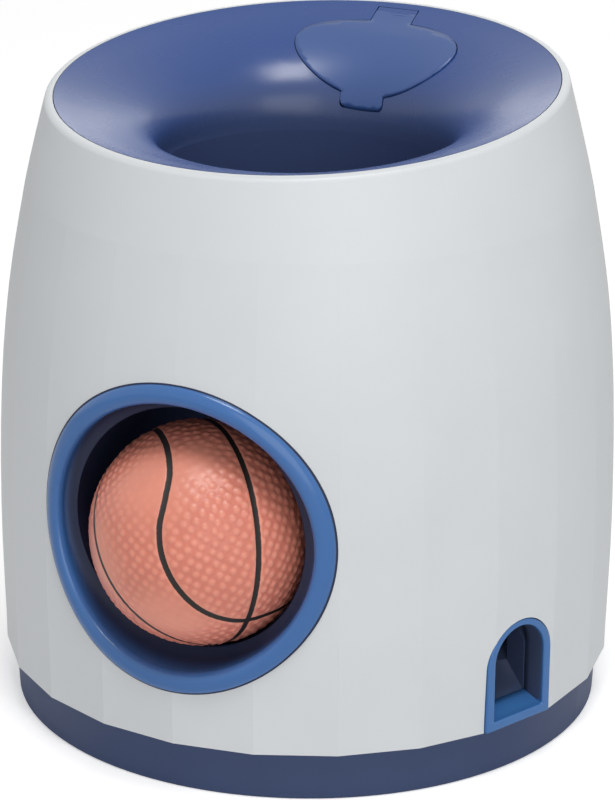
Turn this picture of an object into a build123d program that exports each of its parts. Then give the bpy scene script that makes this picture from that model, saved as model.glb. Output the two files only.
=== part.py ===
from build123d import *

import os
from math import cos, radians, sin, tan

# A ball-and-treat puzzle for dogs, in millimetres. It stands on Z = 0 with the centre of its foot at the
# origin, and the round ball mouth faces -Y. A ball dropped in the funnel tips a paddle on its way to the
# mouth, and the paddle opens a gate that lets treats slide down a chute to the small arch.

# Overall form
overall_height = 180.0
belly_radius = 85.0
base_height = 13.9
facet_count = 24
shell_wall = 2.8
# Outline of the shell from its lower edge to just past the rim: height above the base, radius, and how
# far each facet has bulged from flat into a true circle.
barrel_height_shares = (0.0, 0.157, 0.308, 0.458, 0.579, 0.699, 0.79, 0.868, 0.929, 1.02)
barrel_radius_shares = (0.993, 1.0, 1.0, 0.989, 0.969, 0.934, 0.901, 0.865, 0.8345, 0.788)
facet_bulge_shares = (0.0, 0.25, 0.5, 0.72, 0.88, 1.0, 1.0, 1.0, 1.0, 1.0)
facet_rows = 7
cavity_rows = (0, 2, 4, 6, 8, 9)

turn = 360.0
half_turn = 180.0

# Clearances and cutting allowances
slip = 0.25
running = 0.05
press = 0.02
soft_gap = 0.3
overrun = 2.0

# Slanted rim and funnel
rim_tilt = 6.07
rim_centre_y = -1.9
rim_radius_share = 0.823
rim_band = 2.1
rim_round = 1.5
funnel_wall = 2.2
throat_radius = 39.0
throat_y = -3.0
throat_drop = 31.0
throat_over_chute = 18.0
near_slope = 20.0
far_slope = 18.0
near_handle_shares = (1.0, 0.7)
far_handle_shares = (0.45, 0.6)
bell_shares = (0.0, 0.18, 0.36, 0.52, 0.66, 0.78, 0.89, 1.0)
underside_shares = (0.0, 0.4, 0.7, 0.86, 1.0)
skirt_height = 6.0
skirt_wall = 2.0
seat_ledge_width = 9.5
seat_ledge_thickness = 2.0
seat_ledge_gap = 36.0

# Fill lid in the back of the funnel
lid_half_width = 24.0
lid_half_length = 12.5
lid_centre_x = -0.5
lid_tab_width = 12.5
lid_tab_length = 2.8
lid_tab_round = 1.2
strap_width = 12.0
strap_x = -1.0
hinge_pin_radius = 1.0
knuckle_radius = 2.0
knuckle_share = 0.112
hinge_room = 1.4
lid_rear_gap = 4.2
lid_seat_width = 2.2
lid_seat_thickness = 1.6
hinge_ear_width = 4.0
lid_sweep_start = 95.0
lid_sweep_arc = 155.0

# Ball and its way out
ball_radius = 29.8
ball_room = 4.0
ball_behind_lip = 7.5
mouth_height = 70.7
bezel_radius = 41.6
bezel_band = 3.6
bezel_proud = 1.4
bezel_edge_round = 1.2
bezel_sleeve_wall = 1.9
lip_height = 1.0
lip_depth = 11.3
sleeve_length = 19.0
chute_wall = 2.2
chute_level_run = 23.7
chute_closed_run = 35.7
chute_rear_y = 38.0
chute_slope = 7.0
chute_side_rise = 29.3
chute_back_drop = 10.7

# Paddle, gate and their shaft
shaft_behind_chute = 17.0
shaft_rise = 21.3
shaft_radius = 3.0
shaft_left = 31.5
shaft_right = 23.0
hub_radius = 5.2
paddle_reach = 44.0
paddle_thickness = 2.4
paddle_tip_width = 24.0
paddle_neck_width = 13.0
paddle_hub_length = 15.2
paddle_rib_height = 2.6
gate_radius = 17.0
gate_thickness = 1.4
gate_half_width = 15.6
gate_start = 52.0
gate_end = 112.0
gate_hub_inner = 8.0
gate_cheek = 1.6
weight_radius = 6.5
weight_length = 8.0
weight_arm = 12.5
weight_angle = -20.0
weight_hub_gap = 0.5
weight_hub_wall = 2.0
clip_radius = 5.0
clip_thickness = 1.0
clip_groove_depth = 0.6

# Hopper and the housing under it
hopper_wall = 1.6
hopper_top_drop = 9.5
hopper_top_half_width = 26.0
hopper_top_depth = 19.6
hopper_rim_gap = 7.0
housing_half_width = 19.0
housing_before_shaft = 10.0
housing_behind_shaft = 18.0
housing_above_shaft = 19.0
housing_below_shaft = 12.0
outlet_half_width = 12.5
outlet_before_shaft = 2.8
outlet_behind_shaft = 7.5
bush_radius = 4.6
bush_flange_radius = 6.2
bush_flange = 1.0
hopper_ear_x = 30.0
hopper_ear_inset = 5.0
hopper_ear_drop = 29.0
hopper_ear_thickness = 3.0
hopper_ear_half = 4.5

# Treat chute and the arch where treats come out
exit_azimuth = 66.3
exit_width = 23.2
exit_top = 43.5
exit_band = 2.6
exit_head_band = 1.8
exit_proud = 0.15
exit_depth = 7.0
exit_flange = 2.0
exit_flange_thickness = 1.4
treat_wall = 1.8
# The treat chute's floor has two stations behind the shaft, two beside the ball chute and two at the arch
treat_entry_x = (-20.0, 17.0)
treat_behind_shaft = 4.5
treat_bend_inset = (33.0, 25.0)
treat_bend_y = (43.5, 6.0)
treat_exit_run = (18.9, 7.2)
treat_over_sill = 2.1
treat_under_housing = 10.5
treat_fall_shares = (1.0, 0.846, 0.6, 0.363, 0.127, 0.0)
treat_width = (27.0, 27.0, 18.0, 17.0, 17.0, 17.2)
treat_side = (7.0, 14.5, 15.0, 15.0, 15.0, 14.0)
treat_post_stations = (1, 3)

# Base tray, feet and fasteners
base_inset = 3.1
base_draft = 0.7
base_floor = 3.1
base_edge = 0.5
spigot_height = 6.0
spigot_wall = 2.2
foot_radius = 7.0
foot_thickness = 2.0
foot_inset = 15.2
foot_azimuths = (20.0, 110.0, 200.0, 290.0)
screw_radius = 1.5
screw_head_radius = 2.9
screw_head_height = 1.8
post_radius = 5.2
post_inset = 7.4
post_rib = 3.0
post_top = 34.0
post_seat = 9.0
post_azimuths = (45.0, 135.0, 215.0, 305.0)
screw_head_z = 0.9
screw_reach = 17.0
funnel_screw_reach = 5.0
stand_radius = 4.6
chute_post_x = 24.0
chute_post_inset = 14.0
chute_front_post_run = 33.7
funnel_boss_radius = 3.4
funnel_boss_inset = 5.8
funnel_boss_azimuths = (0.0, 120.0, 240.0)

# Places worked out from the sizes above
rim_radius = belly_radius * rim_radius_share
funnel_radius = rim_radius - rim_band - slip
rim_height = overall_height - rim_radius * sin(radians(rim_tilt))
rim_plane = Plane(
    origin=(0, rim_centre_y, rim_height),
    x_dir=(1, 0, 0),
    z_dir=(0, -sin(radians(rim_tilt)), cos(radians(rim_tilt))),
)
rim_plane_axis = Axis(rim_plane.origin, rim_plane.z_dir)
flat_share = cos(radians(half_turn / facet_count))
shell_inside = belly_radius * barrel_radius_shares[0] * flat_share - shell_wall
bezel_bore = bezel_radius - bezel_band
sleeve_radius = bezel_radius - bezel_sleeve_wall
sleeve_end_y = sleeve_length - belly_radius
tunnel_radius = ball_radius + ball_room
lip_radius = tunnel_radius - lip_height
lip_y = lip_depth - belly_radius
ball_y = lip_y + ball_behind_lip
ball_z = mouth_height - tunnel_radius + soft_gap + ball_radius
chute_level_end_y = lip_y + chute_level_run
chute_open_y = lip_y + chute_closed_run
chute_side_top = mouth_height + chute_side_rise
chute_back_top = mouth_height - chute_back_drop
throat_height = overall_height - throat_drop
throat_tube_end = chute_side_top + throat_over_chute
shaft_y = chute_rear_y + shaft_behind_chute
shaft_z = mouth_height + shaft_rise
housing_front_y = shaft_y - housing_before_shaft
housing_rear_y = shaft_y + housing_behind_shaft
housing_top = shaft_z + housing_above_shaft
housing_bottom = shaft_z - housing_below_shaft
outlet_front_y = shaft_y - outlet_before_shaft
outlet_rear_y = shaft_y + outlet_behind_shaft
hopper_top = overall_height - hopper_top_drop
hopper_top_rear_y = funnel_radius - hopper_rim_gap
hopper_top_front_y = hopper_top_rear_y - hopper_top_depth
hopper_ear_y = hopper_top_front_y + hopper_ear_inset
hopper_ear_z = overall_height - hopper_ear_drop
hopper_boss_z = hopper_ear_z + hopper_ear_thickness
funnel_boss_circle = funnel_radius - funnel_boss_inset
exit_front = belly_radius * flat_share + exit_proud
exit_sill = base_height + exit_band
treat_low = exit_sill + treat_over_sill
treat_high = housing_bottom - treat_under_housing
base_top_radius = belly_radius - base_inset
base_foot_radius = base_top_radius - base_draft
foot_circle = base_foot_radius - foot_inset
post_circle = shell_inside - post_inset
screw_top = screw_head_z + screw_reach + running


def bar_x(radius, x_from, x_to, y, z):
    """Round bar along X."""
    return Pos(x_from, y, z) * Rot(0, 90, 0) * Cylinder(radius, x_to - x_from, align=LOW)


def bar_y(radius, y_from, y_to, x, z):
    """Round bar along Y."""
    return Pos(x, y_from, z) * Rot(-90, 0, 0) * Cylinder(radius, y_to - y_from, align=LOW)


def bar_z(radius, z_from, z_to, x, y):
    """Round bar along Z."""
    return Pos(x, y, z_from) * Cylinder(radius, z_to - z_from, align=LOW)


def block(x_from, x_to, y_from, y_to, z_from, z_to):
    """Box between two corners."""
    corner = (Align.MIN, Align.MIN, Align.MIN)
    return Pos(x_from, y_from, z_from) * Box(x_to - x_from, y_to - y_from, z_to - z_from, align=corner)


def polar(radius, azimuth):
    """Place on a circle about Z, with the azimuth turned from the mouth (-Y) towards +X."""
    return radius * sin(radians(azimuth)), -radius * cos(radians(azimuth))


def screw(x, y, head_z, length):
    """Screw that enters upwards: its head's underside is at head_z."""
    head = bar_z(screw_head_radius, head_z, head_z + screw_head_height, x, y)
    return head + bar_z(screw_radius, head_z + screw_head_height, head_z + length, x, y)


LOW = (Align.CENTER, Align.CENTER, Align.MIN)


# Shell outline

def barrel_heights():
    return [base_height + share * (overall_height - base_height) for share in barrel_height_shares]


def facet_section(height, radius, bulge):
    """One level of the shell: a ring of arcs that run from flat facets to a full circle."""
    step = turn / facet_count
    middle = radius * (flat_share + bulge * (1 - flat_share))
    edges = []
    for index in range(facet_count):
        x0, y0 = polar(radius, index * step)
        x1, y1 = polar(radius, (index + 1) * step)
        xm, ym = polar(middle, (index + 0.5) * step)
        if bulge > 0:
            edges.append(ThreePointArc((x0, y0, height), (xm, ym, height), (x1, y1, height)))
        else:
            edges.append(Line((x0, y0, height), (x1, y1, height)))
    return Face(Wire(edges))


def faceted_barrel():
    """The shell's outer form: faceted at the foot, turned towards the rim."""
    rows = list(zip(barrel_heights(), barrel_radius_shares, facet_bulge_shares))[:facet_rows]
    sections = [facet_section(height, belly_radius * radius, bulge) for height, radius, bulge in rows]
    upper = round_barrel(0) & bar_z(belly_radius, rows[-1][0], 2 * overall_height, 0, 0)
    return loft(sections) + upper


def round_barrel(grow):
    """The same outline turned about Z, grown outwards."""
    heights = barrel_heights()
    radii = [belly_radius * share + grow for share in barrel_radius_shares]
    side = Spline(*[(r, 0, z) for r, z in zip(radii, heights)])
    top = heights[-1]
    low = heights[0]
    outline = Curve() + side
    outline += Polyline((radii[-1], 0, top), (0, 0, top), (0, 0, low), (radii[0], 0, low))
    return revolve(make_face(outline), Axis.Z)


def barrel_cavity(wall):
    """The shell's inside, in straight drafted bands that follow the outline."""
    heights = barrel_heights()
    points = []
    for row in cavity_rows:
        middle = flat_share + facet_bulge_shares[row] * (1 - flat_share)
        points.append((belly_radius * barrel_radius_shares[row] * middle - wall, 0, heights[row]))
    points[0] = (points[0][0], 0, points[0][2] - overrun)
    points.append((0, 0, points[-1][2]))
    points.append((0, 0, points[0][2]))
    return revolve(make_face(Polyline(*points, close=True)), Axis.Z)


def rim_disc(radius, depth_from, depth_to):
    """Disc square to the slanted rim, between two depths below it."""
    return rim_plane * Pos(0, 0, -depth_to) * Cylinder(radius, depth_to - depth_from, align=LOW)


# Funnel surface

def bell_guides():
    """Front and back lines of the funnel surface in the YZ plane."""
    tilt = radians(rim_tilt)
    front_rim = (rim_centre_y - funnel_radius * cos(tilt), rim_height - funnel_radius * sin(tilt))
    back_rim = (rim_centre_y + funnel_radius * cos(tilt), rim_height + funnel_radius * sin(tilt))
    front_run = throat_y - throat_radius - front_rim[0]
    back_run = back_rim[0] - throat_y - throat_radius
    front_fall = tan(radians(near_slope) - tilt)
    back_fall = tan(radians(far_slope) + tilt)
    near_start, near_end = near_handle_shares
    far_start, far_end = far_handle_shares
    front_lip = throat_y - throat_radius
    back_lip = throat_y + throat_radius
    front = Bezier(
        (0, front_rim[0], front_rim[1]),
        (0, front_rim[0] + near_start * front_run, front_rim[1] - near_start * front_run * front_fall),
        (0, front_lip, throat_height + near_end * (front_rim[1] - throat_height)),
        (0, front_lip, throat_height),
    )
    back = Bezier(
        (0, back_rim[0], back_rim[1]),
        (0, back_rim[0] - far_start * back_run, back_rim[1] - far_start * back_run * back_fall),
        (0, back_lip, throat_height + far_end * (back_rim[1] - throat_height)),
        (0, back_lip, throat_height),
    )
    return front, back


def bell_section(front, back, share, offset):
    """Circle of the funnel through one point of its front line and one of its back line."""
    a = front @ share
    b = back @ share
    ta = front % share
    tb = back % share
    a = a + Vector(0, ta.Z, -ta.Y) * offset
    b = b + Vector(0, -tb.Z, tb.Y) * offset
    across = b - a
    plane = Plane(origin=(a + b) * 0.5, x_dir=(1, 0, 0), z_dir=(0, -across.Z, across.Y))
    return plane * Circle(across.length / 2)


def bell_solid(offset, shares, ruled):
    """All that lies above the funnel surface and inside its tube, grown by an offset."""
    front, back = bell_guides()
    sections = [bell_section(front, back, share, offset) for share in shares]
    body = loft(sections, ruled=ruled)
    body += extrude(sections[0], overrun, dir=rim_plane.z_dir)
    tube_bottom = throat_tube_end if offset > 0 else throat_tube_end - overrun
    return body + bar_z(throat_radius + offset, tube_bottom, throat_height, 0, throat_y)


# Lid geometry: the outline is drawn by distance from the hinge pin and swept about it, so it swings clear

def hinge_point():
    """Centre of the hinge pin: the knuckle's radius below the funnel's back line."""
    back = bell_guides()[1]
    along = back % knuckle_share
    return back @ knuckle_share + Vector(0, -along.Z, along.Y) * knuckle_radius


def lid_sweep(grow):
    """The lid's outline, grown by a clearance and swept about the hinge pin."""
    pin = hinge_point()
    middle = lid_rear_gap + lid_half_length
    tab_end = lid_rear_gap + 2 * lid_half_length + lid_tab_length + grow
    tab_length = lid_half_length + lid_tab_length + grow
    outline = Pos(lid_centre_x, middle) * Ellipse(lid_half_width + grow, lid_half_length + grow)
    outline += Pos(strap_x, tab_end - tab_length / 2) * RectangleRounded(
        lid_tab_width + 2 * grow, tab_length, lid_tab_round
    )
    outline += Pos(strap_x, middle / 2) * Rectangle(strap_width + 2 * grow, middle)
    return Pos(0, pin.Y, pin.Z) * Rot(lid_sweep_start, 0, 0) * revolve(outline, Axis.X, lid_sweep_arc)


def knuckle(radius, grow):
    pin = hinge_point()
    half = strap_width / 2 + grow
    return bar_x(radius, strap_x - half, strap_x + half, pin.Y, pin.Z)


def hinge_pin(grow):
    pin = hinge_point()
    half = strap_width / 2 + slip + hinge_ear_width
    return bar_x(hinge_pin_radius + grow, strap_x - half, strap_x + half, pin.Y, pin.Z)


def hinge_ears():
    """Two lugs under the funnel that hold the ends of the hinge pin."""
    pin = hinge_point()
    inner = strap_width / 2 + slip
    outer = inner + hinge_ear_width
    size = 2 * hinge_pin_radius
    ears = block(strap_x - outer, strap_x - inner, pin.Y - size, pin.Y + size, pin.Z - size, overall_height)
    return ears + block(strap_x + inner, strap_x + outer, pin.Y - size, pin.Y + size, pin.Z - size, overall_height)


def lid_seat():
    """Ledge that the edge of the lid rests on."""
    thick = funnel_wall + soft_gap + lid_seat_thickness
    ledge = bell_solid(thick, underside_shares, True) - bell_solid(funnel_wall, underside_shares, True)
    ledge &= lid_sweep(lid_seat_width + slip) - lid_sweep(-lid_seat_width)
    return ledge - (bell_solid(funnel_wall + soft_gap, underside_shares, True) & lid_sweep(slip))


def fill_lid():
    """Oval flap of the funnel's own wall, with a thumb tab and a strap to its knuckle."""
    leaf = bell_solid(funnel_wall, underside_shares, True) - bell_solid(0, bell_shares, False)
    leaf &= rim_disc(funnel_radius, 0, overall_height)
    leaf &= lid_sweep(0)
    return leaf + knuckle(knuckle_radius, 0) - hinge_pin(running)


def funnel():
    """Bell that guides the ball into the throat, with a skirt that stands on the shell's ledge."""
    body = bell_solid(funnel_wall, underside_shares, True)
    body += rim_disc(funnel_radius, 0, skirt_height) - rim_disc(funnel_radius - skirt_wall, 0, skirt_height)
    for azimuth in funnel_boss_azimuths:
        x, y = polar(funnel_boss_circle, azimuth)
        body += rim_plane * Pos(x, y, -skirt_height) * Cylinder(funnel_boss_radius, skirt_height, align=LOW)
    for side in (-1, 1):
        body += bar_z(funnel_boss_radius, hopper_boss_z, rim_height, side * hopper_ear_x, hopper_ear_y)
    body -= lid_sweep(slip)
    body += lid_seat()
    body += hinge_ears()
    body &= rim_disc(funnel_radius, 0, overall_height)
    body -= bell_solid(0, bell_shares, False)
    body -= knuckle(knuckle_radius + hinge_room, slip)
    body -= hinge_pin(press)
    for azimuth in funnel_boss_azimuths:
        body -= tilted_screw_hole(azimuth)
    for side in (-1, 1):
        top = hopper_ear_z + screw_reach
        body -= bar_z(screw_radius + running, hopper_ear_z, top, side * hopper_ear_x, hopper_ear_y)
    return body


def tilted_screw_hole(azimuth):
    """Hole for a funnel screw, square to the rim, through the shell's ledge and into the boss."""
    x, y = polar(funnel_boss_circle, azimuth)
    depth = skirt_height + seat_ledge_thickness
    hole = Cylinder(screw_radius + running, funnel_screw_reach, align=LOW)
    return rim_plane * Pos(x, y, -depth) * hole


# Shell

def outer_shell():
    """Moulded shell: facets at the foot that melt into a round, slanted rim."""
    outside = faceted_barrel()
    top = rim_disc(2 * belly_radius, -belly_radius, 0)
    body = outside - top
    rim_edges = body.faces().sort_by(rim_plane_axis)[-1].outer_wire().edges()
    body = fillet(rim_edges, rim_round)
    body -= barrel_cavity(shell_wall)
    body -= rim_disc(funnel_radius + slip, -overrun, skirt_height)
    ledge = rim_disc(rim_radius + rim_band, skirt_height, skirt_height + seat_ledge_thickness)
    ledge -= rim_disc(funnel_radius - seat_ledge_width, 0, 2 * skirt_height)
    ledge &= barrel_cavity(shell_wall / 2)
    ledge -= block(-seat_ledge_gap, seat_ledge_gap, 0, belly_radius, 0, overall_height)
    body += ledge
    for azimuth in funnel_boss_azimuths:
        body -= tilted_screw_hole(azimuth)
    body -= bar_y(sleeve_radius + slip, -2 * belly_radius, -belly_radius / 2, 0, mouth_height)
    body -= at_exit(arch(exit_width + 2 * slip, exit_top + slip, 0, belly_radius / 2, 2 * belly_radius))
    for azimuth in post_azimuths:
        body += shell_post(azimuth)
    return body


def shell_post(azimuth):
    """Screw post with a rib to the shell's wall."""
    x, y = polar(post_circle, azimuth)
    post = bar_z(post_radius, post_seat, post_top, x, y)
    rib_foot = base_height + spigot_height + slip
    rib = block(-post_rib / 2, post_rib / 2, -shell_inside - shell_wall / 2, -post_circle, rib_foot, post_top)
    post += Rot(0, 0, azimuth) * rib
    return post - bar_z(screw_radius + running, 0, screw_top, x, y)


# Ball mouth, chute and ball

def ball_mouth_bezel():
    """Rounded ring round the mouth that follows the shell, with the lip that stops the ball."""
    far = -2 * belly_radius
    ring = bar_y(bezel_radius, far, sleeve_end_y, 0, mouth_height) & round_barrel(bezel_proud)
    ring -= bar_y(bezel_bore, far, 0, 0, mouth_height)
    ring = fillet(ring.faces().sort_by(Axis.Y)[0].edges(), bezel_edge_round)
    dish = bar_y((bezel_bore + sleeve_radius) / 2, far, sleeve_end_y, 0, mouth_height)
    dish &= round_barrel(bezel_proud - 2 * bezel_edge_round)
    dish -= bar_y_cone(bezel_bore, lip_radius, -belly_radius, lip_y)
    dish -= bar_y(lip_radius, lip_y, 0, 0, mouth_height)
    body = ring + dish
    body -= round_barrel(running) - bar_y(sleeve_radius, far, 0, 0, mouth_height)
    return body - bar_y(tunnel_radius + chute_wall + press, lip_y + press, 0, 0, mouth_height)


def bar_y_cone(radius_from, radius_to, y_from, y_to):
    """Cone frustum along Y on the mouth's axis."""
    cone = Cone(radius_from, radius_to, y_to - y_from, align=LOW)
    return Pos(0, y_from, mouth_height) * Rot(-90, 0, 0) * cone


def chute_form(radius, side_top):
    """Tunnel at the mouth that opens upwards into a sloping trough, as one solid of a given half width."""
    rise = (chute_rear_y - chute_level_end_y) * tan(radians(chute_slope))
    path = Polyline(
        (0, lip_y + 2 * press, mouth_height),
        (0, chute_level_end_y, mouth_height),
        (0, chute_rear_y, mouth_height + rise),
    )
    section = Plane(path @ 0, z_dir=(0, 1, 0)) * Circle(radius)
    body = sweep(section, path=path, transition=Transition.RIGHT)
    body -= block(-belly_radius, belly_radius, chute_open_y, belly_radius, side_top, overall_height)
    axis_front = mouth_height + (chute_open_y - chute_level_end_y) * tan(radians(chute_slope))
    walls = Polyline(
        (0, chute_open_y, axis_front),
        (0, chute_rear_y, mouth_height + rise),
        (0, chute_rear_y, side_top),
        (0, chute_open_y, side_top),
        close=True,
    )
    return body + extrude(make_face(walls), radius, dir=(1, 0, 0), both=True)


def ball_chute():
    """Trough that rolls the ball from under the throat to the mouth."""
    body = chute_form(tunnel_radius + chute_wall, chute_side_top)
    for x, y in chute_posts():
        body += bar_z(stand_radius, post_seat, mouth_height, x, y)
    back_inside = chute_rear_y - chute_wall
    wide = belly_radius
    room = chute_form(tunnel_radius, chute_side_top + overrun)
    back_wall = block(-wide, wide, back_inside, wide, 0, chute_back_top)
    body -= room - back_wall
    body -= bar_y(tunnel_radius, 2 * lip_y, lip_y + 2 * slip, 0, mouth_height)
    body -= block(-wide, wide, chute_rear_y, wide, 0, overall_height)
    for x, y in chute_posts():
        body -= bar_z(screw_radius + running, 0, screw_top, x, y)
    return body


def chute_posts():
    """Places of the ball chute's posts: two at its rear and one under its level part."""
    rear = chute_rear_y - chute_post_inset
    return [(-chute_post_x, rear), (chute_post_x, rear), (0, lip_y + chute_front_post_run)]


def treat_ball():
    """Soft ball, at rest against the lip of the mouth."""
    return Pos(0, ball_y, ball_z) * Sphere(ball_radius)


# Paddle, gate and counterweight on one shaft

def wedge(start, end, reach, x_from, x_to):
    """Prism about the shaft between two angles, turned from +Y towards +Z."""
    middle = (start + end) / 2
    tip = reach / cos(radians((end - start) / 2))
    corners = [(0, shaft_y, shaft_z)]
    for angle, radius in ((start, reach), (middle, tip), (end, reach)):
        a = radians(angle)
        corners.append((0, shaft_y + radius * cos(a), shaft_z + radius * sin(a)))
    face = make_face(Polyline(*corners, close=True))
    return Pos(x_from, 0, 0) * extrude(face, x_to - x_from, dir=(1, 0, 0))


def trip_shaft():
    """Plain shaft with a groove near each end for a clip."""
    body = bar_x(shaft_radius, -shaft_left, shaft_right, shaft_y, shaft_z)
    for x in clip_places():
        groove = bar_x(shaft_radius + overrun, x - press, x + clip_thickness + press, shaft_y, shaft_z)
        body -= groove - bar_x(shaft_radius - clip_groove_depth, -shaft_left, shaft_right, shaft_y, shaft_z)
    return body


def clip_places():
    """Lower X of each retaining clip: outside the right bush and outside the counterweight."""
    right = housing_half_width + bush_flange + running
    left = -weight_outer() - running - clip_thickness
    return left, right


def weight_outer():
    return housing_half_width + bush_flange + weight_hub_gap + weight_length


def shaft_clips():
    """Two open retaining clips."""
    clips = []
    for x in clip_places():
        ring = bar_x(clip_radius, x, x + clip_thickness, shaft_y, shaft_z)
        ring -= bar_x(shaft_radius - clip_groove_depth + press, x, x + clip_thickness, shaft_y, shaft_z)
        half = shaft_radius - 2 * clip_groove_depth
        slot = block(x, x + clip_thickness, shaft_y - half, shaft_y + half, shaft_z - clip_radius, shaft_z)
        clips.append(ring - slot)
    return Compound(clips)


def trip_paddle():
    """Paddle that reaches under the throat and is pushed down by the falling ball."""
    half_hub = paddle_hub_length / 2
    body = bar_x(hub_radius, -half_hub, half_hub, shaft_y, shaft_z)
    tip_y = shaft_y - paddle_reach + paddle_tip_width / 2
    outline = Polyline(
        (-paddle_neck_width / 2, shaft_y),
        (paddle_neck_width / 2, shaft_y),
        (paddle_tip_width / 2, tip_y),
        (-paddle_tip_width / 2, tip_y),
        close=True,
    )
    plate = make_face(outline) + Pos(0, tip_y) * Circle(paddle_tip_width / 2)
    low = shaft_z - paddle_thickness / 2
    body += Pos(0, 0, low) * extrude(plate, paddle_thickness)
    rib = make_face(
        Polyline(
            (0, shaft_y, low),
            (0, tip_y, low),
            (0, shaft_y, low - paddle_rib_height),
            close=True,
        )
    )
    for side in (-1, 1):
        place = side * paddle_neck_width / 4
        body += Pos(place, 0, 0) * extrude(rib, hopper_wall / 2, dir=(1, 0, 0), both=True)
    return body - bar_x(shaft_radius + press, -half_hub, half_hub, shaft_y, shaft_z)


def treat_gate():
    """Curved gate that shuts the hopper's outlet at rest, on two cheeks and hubs."""
    full = bar_x(gate_radius, -gate_half_width, gate_half_width, shaft_y, shaft_z)
    skin = full - bar_x(gate_radius - gate_thickness, -belly_radius, belly_radius, shaft_y, shaft_z)
    body = skin & wedge(gate_start, gate_end, 2 * gate_radius, -gate_half_width, gate_half_width)
    cheek_inner = gate_half_width - gate_cheek
    cheeks = wedge(gate_start, gate_end, 2 * gate_radius, -gate_half_width, -cheek_inner)
    cheeks += wedge(gate_start, gate_end, 2 * gate_radius, cheek_inner, gate_half_width)
    body += cheeks & full
    body += bar_x(hub_radius, -gate_half_width, -gate_hub_inner, shaft_y, shaft_z)
    body += bar_x(hub_radius, gate_hub_inner, gate_half_width, shaft_y, shaft_z)
    return body - bar_x(shaft_radius + press, -belly_radius, belly_radius, shaft_y, shaft_z)


def counterweight():
    """Metal weight on a short lever that brings the paddle up and the gate shut."""
    outer = -weight_outer()
    inner = outer + weight_length
    angle = radians(weight_angle)
    y = shaft_y + weight_arm * cos(angle)
    z = shaft_z + weight_arm * sin(angle)
    hub = shaft_radius + weight_hub_wall
    body = bar_x(hub, outer, inner, shaft_y, shaft_z) + bar_x(weight_radius, outer, inner, y, z)
    arm = Box(weight_length, weight_arm, 2 * weight_hub_wall, align=(Align.MIN, Align.MIN, Align.CENTER))
    body += Pos(outer, shaft_y, shaft_z) * Rot(weight_angle, 0, 0) * arm
    return body - bar_x(shaft_radius + press, outer, inner, shaft_y, shaft_z)


def shaft_bush(side):
    """Flanged bush in one side of the housing."""
    plate = housing_half_width - hopper_wall
    inner = plate - bush_flange
    outer = housing_half_width + bush_flange
    body = bar_x(bush_radius, inner, outer, shaft_y, shaft_z)
    body += bar_x(bush_flange_radius, housing_half_width, outer, shaft_y, shaft_z)
    body -= bar_x(shaft_radius + running, inner, outer, shaft_y, shaft_z)
    return body if side > 0 else mirror(body, about=Plane.YZ)


# Hopper with the gate's housing, treat chute and arch

def rectangle_at(height, half_width, front_y, rear_y):
    return Pos(0, (front_y + rear_y) / 2, height) * Rectangle(2 * half_width, rear_y - front_y)


def treat_hopper():
    """Tapering hopper under the lid, with the gate's housing below it."""
    wall = hopper_wall
    body = loft([
        rectangle_at(housing_top, outlet_half_width + wall, outlet_front_y - wall, outlet_rear_y + wall),
        rectangle_at(hopper_top, hopper_top_half_width, hopper_top_front_y, hopper_top_rear_y),
    ])
    half = housing_half_width
    body += block(-half, half, housing_front_y, housing_rear_y, housing_bottom, housing_top)
    ear = hopper_ear_x + hopper_ear_half
    front = hopper_ear_y - hopper_ear_half
    rear = hopper_ear_y + hopper_ear_half
    body += block(-ear, ear, front, rear, hopper_ear_z, hopper_boss_z)
    body -= loft([
        rectangle_at(housing_top, outlet_half_width, outlet_front_y, outlet_rear_y),
        rectangle_at(
            hopper_top,
            hopper_top_half_width - wall,
            hopper_top_front_y + wall,
            hopper_top_rear_y - wall,
        ),
    ])
    inside = half - wall
    body -= block(-inside, inside, 0, housing_rear_y - wall, 0, housing_top - wall)
    body -= block(
        -outlet_half_width, outlet_half_width, outlet_front_y, outlet_rear_y, housing_bottom, housing_top
    )
    body -= bar_x(bush_radius + press, -belly_radius, belly_radius, shaft_y, shaft_z)
    clear = funnel_wall + soft_gap + lid_seat_thickness + slip
    body -= bell_solid(clear, underside_shares, True)
    for side in (-1, 1):
        hole = screw_radius + running
        body -= bar_z(hole, hopper_ear_z, overall_height, side * hopper_ear_x, hopper_ear_y)
    return body


def at_exit(shape):
    """Turns a shape built at the front round to the treat arch."""
    return Rot(0, 0, exit_azimuth) * shape


def arch(width, top, bottom, y_from, y_to):
    """Round-headed arch standing across -Y, between two distances from the middle."""
    spring = top - width / 2
    face = Pos(0, (spring + bottom) / 2) * Rectangle(width, spring - bottom) + Pos(0, spring) * Circle(width / 2)
    return Plane.XZ.offset(y_from) * extrude(face, y_to - y_from)


def treat_exit_frame():
    """Arched frame with a sill, flush with its facet and flanged behind the shell."""
    back = exit_front - exit_depth
    inner = exit_width - 2 * exit_band
    body = arch(exit_width, exit_top, base_height + press, back, exit_front)
    flange_half = exit_width / 2 + exit_flange
    flange_out = (shell_inside**2 - flange_half**2) ** 0.5 - slip
    flange = arch(
        2 * flange_half,
        exit_top + exit_flange,
        base_height + press,
        flange_out - exit_flange_thickness,
        flange_out,
    )
    return at_exit(body + flange - arch(inner, exit_top - exit_head_band, exit_sill, 0, 2 * belly_radius))


def treat_path():
    """Place of each station of the treat chute, from behind the shaft round to the arch."""
    path = [(x, shaft_y + treat_behind_shaft) for x in treat_entry_x]
    path += [(belly_radius - inset, y) for inset, y in zip(treat_bend_inset, treat_bend_y)]
    return path + [polar(exit_front - run, exit_azimuth) for run in treat_exit_run]


def treat_floor(station):
    return treat_low + treat_fall_shares[station] * (treat_high - treat_low)


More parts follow.
